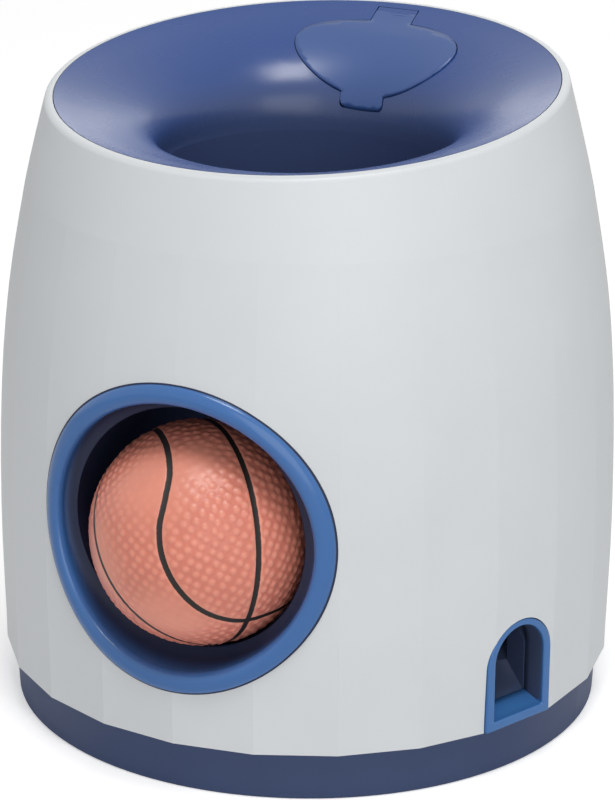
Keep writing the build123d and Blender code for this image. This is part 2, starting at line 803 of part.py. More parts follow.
def treat_stations():
    """Floor centre and mitred cross direction at each station of the treat chute."""
    points = [Vector(x, y, 0) for x, y in treat_path()]
    ways = [(b - a).normalized() for a, b in zip(points, points[1:])]
    stations = []
    for index, point in enumerate(points):
        before = ways[max(index - 1, 0)]
        after = ways[min(index, len(ways) - 1)]
        along = (before + after).normalized()
        stations.append((point, along, 1 / along.dot(after)))
    return stations


def treat_channel(wall, side_extra):
    """Solid along the treat chute: its inside, grown sideways and downwards by a wall."""
    sections = []
    rows = zip(treat_stations(), treat_width, treat_side)
    for station, ((point, along, mitre), width, side) in enumerate(rows):
        low = treat_floor(station) - wall
        high = treat_floor(station) + side + side_extra
        plane = Plane(origin=(point.X, point.Y, 0), x_dir=(-along.Y, along.X, 0), z_dir=(along.X, along.Y, 0))
        box = Rectangle((width + 2 * wall) * mitre, high - low)
        sections.append(plane * Pos(0, (high + low) / 2) * box)
    return loft(sections, ruled=True)


def treat_chute():
    """Open channel that takes treats from the gate, round the ball chute, to the arch."""
    body = treat_channel(treat_wall, 0)
    path = treat_path()
    for station in treat_post_stations:
        body += bar_z(stand_radius, post_seat, treat_floor(station), *path[station])
    body -= treat_channel(0, overrun)
    end, middle = path[0]
    half = treat_width[0] / 2 + treat_wall
    low = treat_floor(0) - treat_wall
    high = treat_floor(0) + treat_side[0]
    body += block(end - treat_wall, end, middle - half, middle + half, low, high)
    for station in treat_post_stations:
        body -= bar_z(screw_radius + running, 0, screw_top, *path[station])
    return body


# Base, feet and fasteners

def base_screw_places():
    """Places of the screws that come up through the base: shell, ball chute, treat chute."""
    shell = [polar(post_circle, azimuth) for azimuth in post_azimuths]
    treat = [treat_path()[station] for station in treat_post_stations]
    return shell, chute_posts(), treat


def base_tray():
    """Round tray that the shell stands on, with a spigot inside the shell and stands for the posts."""
    side = Polyline(
        (0, 0, 0),
        (base_foot_radius, 0, 0),
        (base_top_radius, 0, base_height),
        (0, 0, base_height),
        close=True,
    )
    body = revolve(make_face(side), Axis.Z)
    body = chamfer(body.edges().group_by(Axis.Z)[0], base_edge)
    spigot_radius = shell_inside - slip
    body += bar_z(spigot_radius, base_height, base_height + spigot_height, 0, 0)
    body -= bar_z(spigot_radius - spigot_wall, base_floor, overall_height, 0, 0)
    half = exit_width / 2 + exit_flange + slip
    body -= at_exit(block(-half, half, -belly_radius, -belly_radius / 2, base_height, overall_height))
    shell, ball, treat = base_screw_places()
    for x, y in shell:
        body -= bar_z(post_radius + slip, post_seat, overall_height, x, y)
        body += bar_z(post_radius, 0, post_seat, x, y)
    for x, y in ball + treat:
        body += bar_z(stand_radius, 0, post_seat, x, y)
    for x, y in shell + ball + treat:
        head_top = screw_head_z + screw_head_height
        body -= bar_z(screw_head_radius + slip, 0, head_top, x, y)
        body -= bar_z(screw_radius + running, 0, overall_height, x, y)
    for azimuth in foot_azimuths:
        x, y = polar(foot_circle, azimuth)
        body -= bar_z(foot_radius + slip, 0, foot_thickness, x, y)
    return body


def rubber_feet():
    """Four pads let flush into the underside."""
    return Compound([
        bar_z(foot_radius, 0, foot_thickness, *polar(foot_circle, azimuth)) for azimuth in foot_azimuths
    ])


def base_screws(places):
    return Compound([screw(x, y, screw_head_z, screw_reach) for x, y in places])


def funnel_screws():
    """Screws square to the slanted rim, up through the shell's ledge."""
    depth = skirt_height + seat_ledge_thickness
    screws = []
    for azimuth in funnel_boss_azimuths:
        x, y = polar(funnel_boss_circle, azimuth)
        one = Cylinder(screw_radius, funnel_screw_reach - press, align=LOW)
        one += Pos(0, 0, -screw_head_height) * Cylinder(screw_head_radius, screw_head_height, align=LOW)
        screws.append(rim_plane * Pos(x, y, -depth) * one)
    return Compound(screws)


def hopper_screws():
    """Screws through the hopper's ears into the funnel."""
    head = hopper_ear_z - screw_head_height
    places = [(side * hopper_ear_x, hopper_ear_y) for side in (-1, 1)]
    return Compound([screw(x, y, head, screw_reach) for x, y in places])


shell_places, ball_places, treat_places = base_screw_places()
nodes = {
    "outer_shell": outer_shell(),
    "funnel": funnel(),
    "fill_lid": fill_lid(),
    "lid_hinge_pin": hinge_pin(0),
    "ball_mouth_bezel": ball_mouth_bezel(),
    "ball_chute": ball_chute(),
    "treat_ball": treat_ball(),
    "trip_shaft": trip_shaft(),
    "shaft_clips": shaft_clips(),
    "trip_paddle": trip_paddle(),
    "treat_gate": treat_gate(),
    "counterweight": counterweight(),
    "shaft_bush_left": shaft_bush(-1),
    "shaft_bush_right": shaft_bush(1),
    "treat_hopper": treat_hopper(),
    "treat_chute": treat_chute(),
    "treat_exit_frame": treat_exit_frame(),
    "base_tray": base_tray(),
    "rubber_feet": rubber_feet(),
    "shell_screws": base_screws(shell_places),
    "ball_chute_screws": base_screws(ball_places),
    "treat_chute_screws": base_screws(treat_places),
    "funnel_screws": funnel_screws(),
    "hopper_screws": hopper_screws(),
}

os.makedirs("parts", exist_ok=True)
for name, shape in nodes.items():
    export_step(shape, f"parts/{name}.step")
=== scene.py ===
"""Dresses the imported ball-and-treat puzzle for pictures: its pieces, finishes, floor, lights and camera."""
from math import cos, pi, radians, sin, tan

import bmesh
import bpy
import numpy as np
from mathutils import Matrix, Vector


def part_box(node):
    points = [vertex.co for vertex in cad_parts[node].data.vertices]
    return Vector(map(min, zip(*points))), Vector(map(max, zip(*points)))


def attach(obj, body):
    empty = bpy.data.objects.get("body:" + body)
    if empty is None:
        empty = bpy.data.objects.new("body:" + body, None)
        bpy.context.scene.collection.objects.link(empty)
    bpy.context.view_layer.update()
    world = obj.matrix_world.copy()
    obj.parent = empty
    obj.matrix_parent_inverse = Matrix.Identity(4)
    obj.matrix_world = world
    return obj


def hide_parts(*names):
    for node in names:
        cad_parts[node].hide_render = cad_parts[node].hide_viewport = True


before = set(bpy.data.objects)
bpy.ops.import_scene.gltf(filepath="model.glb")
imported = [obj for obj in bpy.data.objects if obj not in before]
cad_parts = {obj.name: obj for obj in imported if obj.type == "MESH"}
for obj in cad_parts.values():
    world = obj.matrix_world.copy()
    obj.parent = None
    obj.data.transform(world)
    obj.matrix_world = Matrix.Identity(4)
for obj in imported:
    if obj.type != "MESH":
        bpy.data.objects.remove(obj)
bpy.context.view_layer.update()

bl_info = {
    "name": "Ball and Treat Puzzle",
    "version": (1, 0, 0),
    "blender": (4, 5, 0),
    "location": "View3D > Sidebar > Puzzle",
    "description": "Builds the pieces, finishes and studio of a ball-and-treat puzzle for dogs",
    "category": "Object",
}

MM = 0.001
RING_HEX = "3A6BAA"
ARCH_HEX = "3C70AE"
# Dark slate that the arch and chute turn to inside: painted shade
INSIDE_SHADE_HEX = "3D4966"
RIM_TILT = radians(6.07)

# Where the ball lies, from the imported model
BALL_LOW, BALL_HIGH = (np.array(corner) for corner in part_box("treat_ball"))
BALL_CENTRE = (BALL_LOW + BALL_HIGH) / 2
BALL_RADIUS = float(BALL_HIGH[2] - BALL_LOW[2]) / 2 - 0.01 * MM


# Colour and nodes

def linear(hex_colour):
    """Linear RGBA of an sRGB hex colour."""
    channels = [int(hex_colour[i:i + 2], 16) / 255 for i in (0, 2, 4)]
    return [c / 12.92 if c <= 0.04045 else ((c + 0.055) / 1.055) ** 2.4 for c in channels] + [1.0]


def add(tree, kind, settings=None, inputs=None):
    """Adds a node: settings are its own properties, inputs are values or other nodes' outputs."""
    node = tree.nodes.new(kind)
    for name, value in (settings or {}).items():
        setattr(node, name, value)
    for name, value in (inputs or {}).items():
        if isinstance(value, bpy.types.NodeSocket):
            tree.links.new(value, node.inputs[name])
        else:
            node.inputs[name].default_value = value
    return node


def new_material(name):
    """Empty node material with its output, and the tree to fill."""
    material = bpy.data.materials.new(name)
    material.use_nodes = True
    tree = material.node_tree
    tree.nodes.clear()
    return material, tree, add(tree, "ShaderNodeOutputMaterial")


def moulded_plastic(name, colour, rough, grain_mm, grain_depth_mm, mottle=0.03, ior=1.54, coat=0.0, deep=None):
    """Injection-moulded plastic: an even colour, a fine spark-eroded grain and slow changes of gloss.

    deep = (colour, low_mm, high_mm): painted shade, the colour that it turns to deep in the bell's throat, where these
    are distances from the origin along the axis of the slanted rim."""
    material, tree, output = new_material(name)
    place = add(tree, "ShaderNodeTexCoord").outputs["Object"]
    slow = add(tree, "ShaderNodeTexNoise", None, {"Vector": place, "Scale": 1 / (22 * MM), "Detail": 3.0})
    base = linear(colour)
    dark = [c * (1 - mottle) for c in base[:3]] + [1.0]
    light = [min(c * (1 + mottle), 1.0) for c in base[:3]] + [1.0]
    tint = add(tree, "ShaderNodeMix", {"data_type": "RGBA"}, {"Factor": slow.outputs["Fac"]})
    tint.inputs[6].default_value = dark
    tint.inputs[7].default_value = light
    # Painted shade: the colour blends to the deep colour towards the throat
    if deep:
        height = add(tree, "ShaderNodeVectorMath", {"operation": "DOT_PRODUCT"}, {"Vector": place})
        height.inputs[1].default_value = (0, -sin(RIM_TILT), cos(RIM_TILT))
        share = add(tree, "ShaderNodeMapRange", {"interpolation_type": "SMOOTHSTEP"}, {
            "Value": height.outputs["Value"], "From Min": deep[1] * MM, "From Max": deep[2] * MM,
            "To Min": 1.0, "To Max": 0.0,
        })
        painted_throat_shade = add(tree, "ShaderNodeMix", {"data_type": "RGBA"}, {"Factor": share.outputs["Result"]})
        tree.links.new(tint.outputs[2], painted_throat_shade.inputs[6])
        painted_throat_shade.inputs[7].default_value = linear(deep[0])
        tint = painted_throat_shade
    grain = add(tree, "ShaderNodeTexNoise", None, {
        "Vector": place, "Scale": 1 / (grain_mm * MM), "Detail": 2.0, "Roughness": 0.6,
    })
    bump = add(tree, "ShaderNodeBump", None, {
        "Strength": 1.0, "Distance": grain_depth_mm * MM, "Height": grain.outputs["Fac"],
    })
    gloss = add(tree, "ShaderNodeMapRange", None, {
        "Value": slow.outputs["Fac"], "From Min": 0.3, "From Max": 0.7,
        "To Min": rough * 0.9, "To Max": min(rough * 1.12, 1.0),
    })
    surface = add(tree, "ShaderNodeBsdfPrincipled", None, {
        "Base Color": tint.outputs[2], "Roughness": gloss.outputs["Result"], "IOR": ior,
        "Normal": bump.outputs["Normal"], "Coat Weight": coat,
    })
    tree.links.new(surface.outputs["BSDF"], output.inputs["Surface"])
    return material


def plastic_with_painted_inner_shade(name, colour, painted_shade_colour, layer, start_mm, end_mm, rough=0.2):
    """Injection-moulded plastic with painted shade: one colour outside, blending by an attribute to a darker one inside
    the opening.
    """
    material, tree, output = new_material(name)
    place = add(tree, "ShaderNodeTexCoord").outputs["Object"]
    slow = add(tree, "ShaderNodeTexNoise", None, {"Vector": place, "Scale": 1 / (14 * MM), "Detail": 3.0})
    inside = add(tree, "ShaderNodeAttribute", {"attribute_name": layer}).outputs["Fac"]
    share = add(tree, "ShaderNodeMapRange", {"interpolation_type": "SMOOTHSTEP"}, {
        "Value": inside, "From Min": start_mm, "From Max": end_mm, "To Min": 0.0, "To Max": 1.0,
    })
    tint = add(tree, "ShaderNodeMix", {"data_type": "RGBA"}, {"Factor": share.outputs["Result"]})
    tint.inputs[6].default_value = linear(colour)
    tint.inputs[7].default_value = linear(painted_shade_colour)
    grain = add(tree, "ShaderNodeTexNoise", None, {"Vector": place, "Scale": 1 / (0.5 * MM), "Detail": 2.0})
    bump = add(tree, "ShaderNodeBump", None, {
        "Strength": 1.0, "Distance": 0.006 * MM, "Height": grain.outputs["Fac"],
    })
    outside = add(tree, "ShaderNodeMapRange", None, {
        "Value": slow.outputs["Fac"], "From Min": 0.3, "From Max": 0.7, "To Min": rough * 0.9, "To Max": rough * 1.15,
    })
    gloss = add(tree, "ShaderNodeMapRange", None, {
        "Value": share.outputs["Result"], "To Min": outside.outputs["Result"], "To Max": 0.62,
    })
    surface = add(tree, "ShaderNodeBsdfPrincipled", None, {
        "Base Color": tint.outputs[2], "Roughness": gloss.outputs["Result"], "IOR": 1.50,
        "Normal": bump.outputs["Normal"],
    })
    tree.links.new(surface.outputs["BSDF"], output.inputs["Surface"])
    return material


def chute_plastic(name, mouth_colour, painted_shade_colour, azimuth, mouth_mm, end_mm):
    """Injection-moulded plastic of the chute with painted shade: its floor is blue at the mouth and turns navy on the
    way in, and its walls are navy.
    """
    material, tree, output = new_material(name)
    place = add(tree, "ShaderNodeTexCoord").outputs["Object"]
    reach = add(tree, "ShaderNodeVectorMath", {"operation": "DOT_PRODUCT"}, {"Vector": place})
    reach.inputs[1].default_value = (sin(azimuth), -cos(azimuth), 0)
    share = add(tree, "ShaderNodeMapRange", {"interpolation_type": "SMOOTHSTEP"}, {
        "Value": reach.outputs["Value"], "From Min": end_mm * MM, "From Max": mouth_mm * MM,
    })
    facing = add(tree, "ShaderNodeSeparateXYZ", None, {"Vector": add(tree, "ShaderNodeNewGeometry").outputs["Normal"]})
    floor = add(tree, "ShaderNodeMapRange", None, {"Value": facing.outputs["Z"], "From Min": 0.5, "From Max": 0.8})
    both = add(tree, "ShaderNodeMath", {"operation": "MULTIPLY"})
    tree.links.new(share.outputs["Result"], both.inputs[0])
    tree.links.new(floor.outputs["Result"], both.inputs[1])
    tint = add(tree, "ShaderNodeMix", {"data_type": "RGBA"}, {"Factor": both.outputs[0]})
    tint.inputs[6].default_value = linear(painted_shade_colour)
    tint.inputs[7].default_value = linear(mouth_colour)
    grain = add(tree, "ShaderNodeTexNoise", None, {"Vector": place, "Scale": 1 / (0.5 * MM), "Detail": 2.0})
    bump = add(tree, "ShaderNodeBump", None, {
        "Strength": 1.0, "Distance": 0.006 * MM, "Height": grain.outputs["Fac"],
    })
    surface = add(tree, "ShaderNodeBsdfPrincipled", None, {
        "Base Color": tint.outputs[2], "Roughness": 0.42, "IOR": 1.54, "Normal": bump.outputs["Normal"],
    })
    tree.links.new(surface.outputs["BSDF"], output.inputs["Surface"])
    return material


def turned_steel(name, colour, rough):
    """Bright zinc-plated steel with fine tool marks."""
    material, tree, output = new_material(name)
    place = add(tree, "ShaderNodeTexCoord").outputs["Object"]
    marks = add(tree, "ShaderNodeTexNoise", None, {"Vector": place, "Scale": 1 / (0.6 * MM), "Detail": 3.0})
    bump = add(tree, "ShaderNodeBump", None, {
        "Strength": 0.6, "Distance": 0.01 * MM, "Height": marks.outputs["Fac"],
    })
    gloss = add(tree, "ShaderNodeMapRange", None, {
        "Value": marks.outputs["Fac"], "To Min": rough * 0.8, "To Max": rough * 1.3,
    })
    surface = add(tree, "ShaderNodeBsdfPrincipled", None, {
        "Base Color": linear(colour), "Metallic": 1.0, "Roughness": gloss.outputs["Result"],
        "Normal": bump.outputs["Normal"],
    })
    tree.links.new(surface.outputs["BSDF"], output.inputs["Surface"])
    return material


def pebbled_rubber(settings):
    """Moulded natural rubber: matt, with painted shade darker between the pebbles, and painted lines in shallow
    grooves.
    """
    material, tree, output = new_material("moulded_coral_rubber")
    place = add(tree, "ShaderNodeTexCoord").outputs["Object"]
    pebble = add(tree, "ShaderNodeAttribute", {"attribute_name": "pebble"}).outputs["Fac"]
    line_mm = add(tree, "ShaderNodeAttribute", {"attribute_name": "line_mm"}).outputs["Fac"]
    seam_mm = add(tree, "ShaderNodeAttribute", {"attribute_name": "seam_mm"}).outputs["Fac"]
    # Painted shade: the rubber darkens towards the valley colour between the pebbles
    pebble_and_valley_shade = add(tree, "ShaderNodeMix", {"data_type": "RGBA"}, {"Factor": pebble})
    pebble_and_valley_shade.inputs[6].default_value = linear(settings.valley_shade_hex)
    pebble_and_valley_shade.inputs[7].default_value = linear(settings.pebble_hex)
    blotch = add(tree, "ShaderNodeTexNoise", None, {"Vector": place, "Scale": 1 / (9 * MM), "Detail": 4.0})
    shade = add(tree, "ShaderNodeMapRange", None, {
        "Value": blotch.outputs["Fac"], "From Min": 0.3, "From Max": 0.7, "To Min": 0.95, "To Max": 1.05,
    })
    tone = add(tree, "ShaderNodeVectorMath", {"operation": "SCALE"}, {
        "Vector": pebble_and_valley_shade.outputs[2], "Scale": shade.outputs["Result"],
    })
    ragged = add(tree, "ShaderNodeTexNoise", None, {"Vector": place, "Scale": 1 / (0.9 * MM), "Detail": 2.0})
    wander = add(tree, "ShaderNodeMath", {"operation": "MULTIPLY_ADD"})
    wander.inputs[0].default_value = 0.25
    tree.links.new(ragged.outputs["Fac"], wander.inputs[1])
    tree.links.new(line_mm, wander.inputs[2])
    half = settings.line_width / 2 / MM
    paint = add(tree, "ShaderNodeMapRange", {"interpolation_type": "SMOOTHSTEP"}, {
        "Value": wander.outputs[0], "From Min": half + 0.02, "From Max": half + 0.22, "To Min": 1.0, "To Max": 0.0,
    })
    seam = add(tree, "ShaderNodeMapRange", {"interpolation_type": "SMOOTHSTEP"}, {
        "Value": seam_mm, "From Min": 0.50, "From Max": 0.95, "To Min": 1.0, "To Max": 0.0,
    })
    ink = add(tree, "ShaderNodeMath", {"operation": "MAXIMUM"})
    tree.links.new(paint.outputs["Result"], ink.inputs[0])
    tree.links.new(seam.outputs["Result"], ink.inputs[1])
    colour = add(tree, "ShaderNodeMix", {"data_type": "RGBA"}, {"Factor": ink.outputs[0]})
    tree.links.new(tone.outputs["Vector"], colour.inputs[6])
    colour.inputs[7].default_value = linear(settings.line_hex)
    fine = add(tree, "ShaderNodeTexNoise", None, {"Vector": place, "Scale": 1 / (0.35 * MM), "Detail": 2.0})
    bump = add(tree, "ShaderNodeBump", None, {
        "Strength": 0.5, "Distance": 0.03 * MM, "Height": fine.outputs["Fac"],
    })
    gloss = add(tree, "ShaderNodeMapRange", None, {
        "Value": paint.outputs["Result"], "To Min": 0.37, "To Max": 0.62,
    })
    surface = add(tree, "ShaderNodeBsdfPrincipled", None, {
        "Base Color": colour.outputs[2], "Roughness": gloss.outputs["Result"], "IOR": 1.52,
        "Subsurface Weight": 0.08, "Subsurface Radius": (0.004, 0.0015, 0.001), "Subsurface Scale": 0.4,
        "Normal": bump.outputs["Normal"],
    })
    tree.links.new(surface.outputs["BSDF"], output.inputs["Surface"])
    return material


# Meshes

def mesh_object(name, points, faces, material, smooth=True):
    """Object at the origin whose mesh has these points, in metres, and faces."""
    mesh = bpy.data.meshes.new(name)
    mesh.from_pydata(points.reshape(-1, 3), [], faces)
    mesh.materials.append(material)
    mesh.polygons.foreach_set("use_smooth", np.full(len(mesh.polygons), smooth))
    mesh.update()
    piece = bpy.data.objects.new(name, mesh)
    bpy.context.scene.collection.objects.link(piece)
    return piece


def attribute(mesh, name, values):
    """Stores one number per point for a material to read."""
    layer = mesh.attributes.new(name, "FLOAT", "POINT")
    layer.data.foreach_set("value", values.astype(np.float32).ravel())


def grid_quads(rows, columns, close_rows=False, close_columns=False):
    """Quads of a grid of points, wrapped round in either direction."""
    index = np.arange(rows * columns).reshape(rows, columns)
    if close_rows:
        index = np.concatenate([index, index[:1]])
    if close_columns:
        index = np.concatenate([index, index[:, :1]], axis=1)
    return np.stack([index[:-1, :-1], index[1:, :-1], index[1:, 1:], index[:-1, 1:]], -1).reshape(-1, 4)


def outward(points, quads):
    """The quads of a closed mesh, turned round if its volume, the sum over faces of a . (b x c), is negative."""
    corners = points.reshape(-1, 3)[quads]
    corners = corners - points.reshape(-1, 3).mean(axis=0)
    a, b, c, d = (corners[:, i] for i in range(4))
    volume = (a * (np.cross(b, c) + np.cross(c, d))).sum()
    return quads if volume > 0 else quads[:, ::-1]


def arc(centre, radius, start, end, count):
    """Points on a circular arc in a plane, between two angles in degrees."""
    angle = np.radians(np.linspace(start, end, count))
    return np.stack([centre[0] + radius * np.cos(angle), centre[1] + radius * np.sin(angle)], -1)


# Rolled ring round the ball mouth

# Outline of the shell, as the model has it: heights and radii in mm
SHELL_HEIGHTS = np.array((13.9, 39.98, 65.06, 89.97, 110.07, 130.0, 145.12, 158.07, 168.21, 183.32))
SHELL_RADII = np.array((84.405, 85.0, 85.0, 84.065, 82.365, 79.39, 76.585, 73.525, 70.9325, 66.98))


def shell_radius(height):
    """Radius of the shell's outline at a height: a cubic through the outline's own points."""
    slopes = np.gradient(SHELL_RADII, SHELL_HEIGHTS)
    i = np.clip(np.searchsorted(SHELL_HEIGHTS, height) - 1, 0, len(SHELL_HEIGHTS) - 2)
    step = SHELL_HEIGHTS[i + 1] - SHELL_HEIGHTS[i]
    t = (height - SHELL_HEIGHTS[i]) / step
    a, b = SHELL_RADII[i], SHELL_RADII[i + 1]
    value = a * (1 + 2 * t) * (1 - t) ** 2 + b * t ** 2 * (3 - 2 * t)
    return value + step * (slopes[i] * t * (1 - t) ** 2 - slopes[i + 1] * t ** 2 * (1 - t))


BEAD_DROP = 1.5
ARCH_FRONT = 84.42
ARCH_DEPTH = 7.0
CHUTE_STEP = 2.2
HINGE_PIN = (61.4944, 175.8507)
BELL_SLOPE = (0.91098, 0.41245)
KNUCKLE_RADIUS = 2.0
GROOVE_DEPTH = 2.4
# Width of a dark strip round the ring: painted shadow of the gap between ring and shell
SHADOW_STRIP_WIDTH = 0.45


class PuzzleRingSettings(bpy.types.PropertyGroup):
    radius: bpy.props.FloatProperty(name="Radius", description="Outside of the ring", default=41.55 * MM, unit="LENGTH")
    bore: bpy.props.FloatProperty(
        name="Bore", description="Radius where the rolled edge ends", default=36.2 * MM, unit="LENGTH")
    proud: bpy.props.FloatProperty(
        name="Stands proud", description="Height of the crest above the shell", default=1.4 * MM, unit="LENGTH")
    lip: bpy.props.FloatProperty(name="Lip", description="Radius of the lip", default=32.8 * MM, unit="LENGTH")
    lip_depth: bpy.props.FloatProperty(
        name="Lip depth", description="How far the lip lies inside the shell's outline", default=11.3 * MM,
        unit="LENGTH")
    height: bpy.props.FloatProperty(
        name="Height", description="Centre of the mouth above the floor", default=70.7 * MM, unit="LENGTH")


class PUZZLE_OT_mouth_ring(bpy.types.Operator):
    """Ring that rolls from the shell's face into the ball mouth"""
    bl_idname = "puzzle.mouth_ring"
    bl_label = "Mouth ring"

    def execute(self, context):
        """A profile is turned about the mouth's axis, and its depth follows the barrel out to the rolled edge."""
        s = context.scene.puzzle_ring
        radius, bore, proud, lip, height = (v / MM for v in (s.radius, s.bore, s.proud, s.lip, s.height))
        lip_y = s.lip_depth / MM - SHELL_RADII.max()
        middle, half, drop = (radius + bore) / 2, (radius - bore) / 2, BEAD_DROP + proud
        bead = np.radians(np.linspace(0, 180, 25))
        fall = np.where(bead < pi / 2, proud - 0.05, drop)
        outer = np.stack([middle + half * np.cos(bead), proud - fall + fall * np.sin(bead)], -1)
        # Painted shadow: a dark strip, flush over the shell round the ring, stands for the shadow in the gap between
        # them
        shadow_strip = radius + SHADOW_STRIP_WIDTH
        outer = np.concatenate([
            [(shadow_strip, -GROOVE_DEPTH), (shadow_strip, 0.0), (shadow_strip - 0.04, 0.05), (radius + 0.02, 0.05)], outer,
        ])
        turn = np.linspace(0, 2 * pi, 264, endpoint=False)[:, None]

        def over_shell(r, rise):
            x, z = r * np.sin(turn), height + r * np.cos(turn)
            return -np.sqrt((shell_radius(z) + rise) ** 2 - x ** 2)

        y = over_shell(outer[:, 0], outer[:, 1])
        r = outer[:, 0] + 0 * turn
        t = np.linspace(0, 1, 18)[1:]
        end_y, end_r = y[:, -1:], r[:, -1:]
        depth = lip_y - end_y
        pull = np.clip(depth * 0.7, 0.4, 8.0)
        dish_y = (1 - t) ** 3 * end_y + 3 * (1 - t) ** 2 * t * (end_y + pull) + 3 * (1 - t) * t ** 2 * (
            lip_y - 0.15 * depth) + t ** 3 * lip_y
        dish_r = (1 - t) ** 3 * end_r + 3 * (1 - t) ** 2 * t * end_r + 3 * (1 - t) * t ** 2 * (
            lip + 1.6) + t ** 3 * lip
        rear = np.array([(lip, lip_y + 0.02), (36.0, lip_y + 0.02), (36.0, -66.1), (39.6, -66.1)])
        rear_r = rear[:, 0] + 0 * turn
        rear_y = rear[:, 1] + 0 * turn
        neck_y = over_shell(np.array([39.6]), np.array([-GROOVE_DEPTH]))
        r = np.concatenate([r, dish_r, rear_r, 39.6 + 0 * turn], axis=1)
        y = np.concatenate([y, dish_y, rear_y, neck_y], axis=1)
        points = np.stack([r * np.sin(turn), y, height + r * np.cos(turn)], -1) * MM
        # Painted shade: the colour darkens with depth behind the shell's face, more slowly at the bottom, whose inner
        # face turns up to the light, than at the top and sides
        painted_shade_depth = y - over_shell(r[:1], np.zeros(r.shape[1]))
        painted_shade_depth *= 1.5 - 0.75 * np.clip(-np.cos(turn), 0, 1)
        # The shadow strip takes the full painted shade colour, and the outer part of the bead none
        painted_shade_depth[:, :4] = 99
        painted_shade_depth[:, 4:17] = 0
        quads = outward(points, grid_quads(points.shape[0], points.shape[1], True, True))
        # 14203F is the dark navy of the painted shade inside the ring
        piece = mesh_object("mouth_ring_rolled", points, quads, plastic_with_painted_inner_shade(
            "satin_abs_blue_painted_shade_ring", RING_HEX, "14203F", "shade_depth_mm", 0.1, 6.0))
        attribute(piece.data, "shade_depth_mm", painted_shade_depth)
        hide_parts("ball_mouth_bezel")
        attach(piece, "housing")
        return {"FINISHED"}


# Frame of the small arch that treats come out of

def arch_outline(half, top, bottom, corner, counts=(26, 30, 5, 16)):
    """Closed outline: two straight sides, a half circle over them, and a sill with small round corners."""
    side, head, turn, sill = counts
    spread = (1 - np.cos(np.linspace(0, pi, side))) / 2
    up = np.stack([np.full(side, -half), bottom + corner + (top - half - bottom - corner) * spread], -1)
    over = arc((0, top - half), half, 180, 0, head)[1:-1]
    down = up[::-1] * (-1, 1)
    right = arc((half - corner, bottom + corner), corner, 0, -90, turn)[1:]
    spread = (1 - np.cos(np.linspace(0, pi, sill))) / 2
    base = np.stack([(half - corner) * (1 - 2 * spread), np.full(sill, bottom)], -1)[1:]
    left = arc((corner - half, bottom + corner), corner, -90, -180, turn)[1:-1]
    return np.concatenate([up, over, down, right, base, left])


class PuzzleArchSettings(bpy.types.PropertyGroup):
    azimuth: bpy.props.FloatProperty(
        name="Azimuth", description="Where the arch is round the shell", default=radians(66.3), subtype="ANGLE")
    width: bpy.props.FloatProperty(name="Width", description="Outside of the frame", default=23.2 * MM, unit="LENGTH")
    top: bpy.props.FloatProperty(name="Top", description="Top of the frame", default=43.5 * MM, unit="LENGTH")
    sill: bpy.props.FloatProperty(name="Sill", description="Floor of the opening", default=16.5 * MM, unit="LENGTH")
    band: bpy.props.FloatProperty(name="Band", description="Width of the sides", default=2.6 * MM, unit="LENGTH")
    head_band: bpy.props.FloatProperty(
        name="Head band", description="Width of the frame at its top", default=1.8 * MM, unit="LENGTH")
    bevel: bpy.props.FloatProperty(name="Bevel", description="Rounding of its edges", default=0.5 * MM, unit="LENGTH")


class PUZZLE_OT_treat_arch(bpy.types.Operator):
    """Flush frame of the treat arch, with soft edges and a floor that slopes out to it"""
    bl_idname = "puzzle.treat_arch"
    bl_label = "Treat arch"

    def execute(self, context):
        """Each ring of points lies a share of the way from the outer outline to the inner one, at a depth."""
        s = context.scene.puzzle_arch
        half, top, sill, band, head, bevel = (v / MM for v in (
            s.width / 2, s.top, s.sill, s.band, s.head_band, s.bevel))
        low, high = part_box("treat_exit_frame")
        outward_axis = np.array((sin(s.azimuth), -cos(s.azimuth), 0))
        across = np.array((cos(s.azimuth), sin(s.azimuth), 0))
        front = ARCH_FRONT
        outer = arch_outline(half, top, low[2] / MM, 0.25)
        inner = arch_outline(half - band, top - head, sill, 0.5)
        round_share = bevel / band
        turn = np.radians(np.linspace(0, 90, 6))
        rows = np.concatenate([
            [(0, ARCH_DEPTH), (0, bevel + 0.15)],
            np.stack([round_share * (1 - np.cos(turn)), bevel * (1 - np.sin(turn))], -1),
            [(round_share + 0.05, 0), (1 - round_share - 0.05, 0)],
            np.stack([1 - round_share * (1 - np.sin(turn)), bevel * (1 - np.cos(turn))], -1),
            [(1, bevel + 0.15), (1, 1.2), (1, 2.2), (1, 3.6), (1, 5.2), (1, ARCH_DEPTH)],
        ])
        share, depth = rows[:, 0][:, None, None], rows[:, 1][:, None]
        flat = outer + (inner - outer) * share
        on_floor = np.clip((sill + 1.2 - flat[..., 1]) / 1.2, 0, 1)
        flat[..., 1] += on_floor * (share[..., 0] >= 0.999) * CHUTE_STEP * np.clip((depth - 2.2) / 4.8, 0, 1)
        points = (
            flat[..., :1] * across + (front - depth[..., None]) * outward_axis + flat[..., 1:] * np.array((0, 0, 1))
        ) * MM
        quads = outward(points, grid_quads(points.shape[0], points.shape[1], True, True))
        # Painted shade: the frame darkens with depth inside the opening, slowly on the floor, which faces up to the
        # light, and fast on the walls and head
        inside = (share[..., 0] >= 0.999) * depth + 0 * flat[..., 0]
        tone = inside * (1 - on_floor * 0.95) + 0.8 * (inside > 0.3) * (1 - on_floor)
        piece = mesh_object("treat_arch_frame", points, quads, plastic_with_painted_inner_shade(
            "satin_abs_blue_painted_shade_arch", ARCH_HEX, INSIDE_SHADE_HEX, "shade_depth_mm", 0.3, 2.6))
        attribute(piece.data, "shade_depth_mm", tone)
        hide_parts("treat_exit_frame")
        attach(piece, "housing")
        return {"FINISHED"}


# Heel of the lid's strap

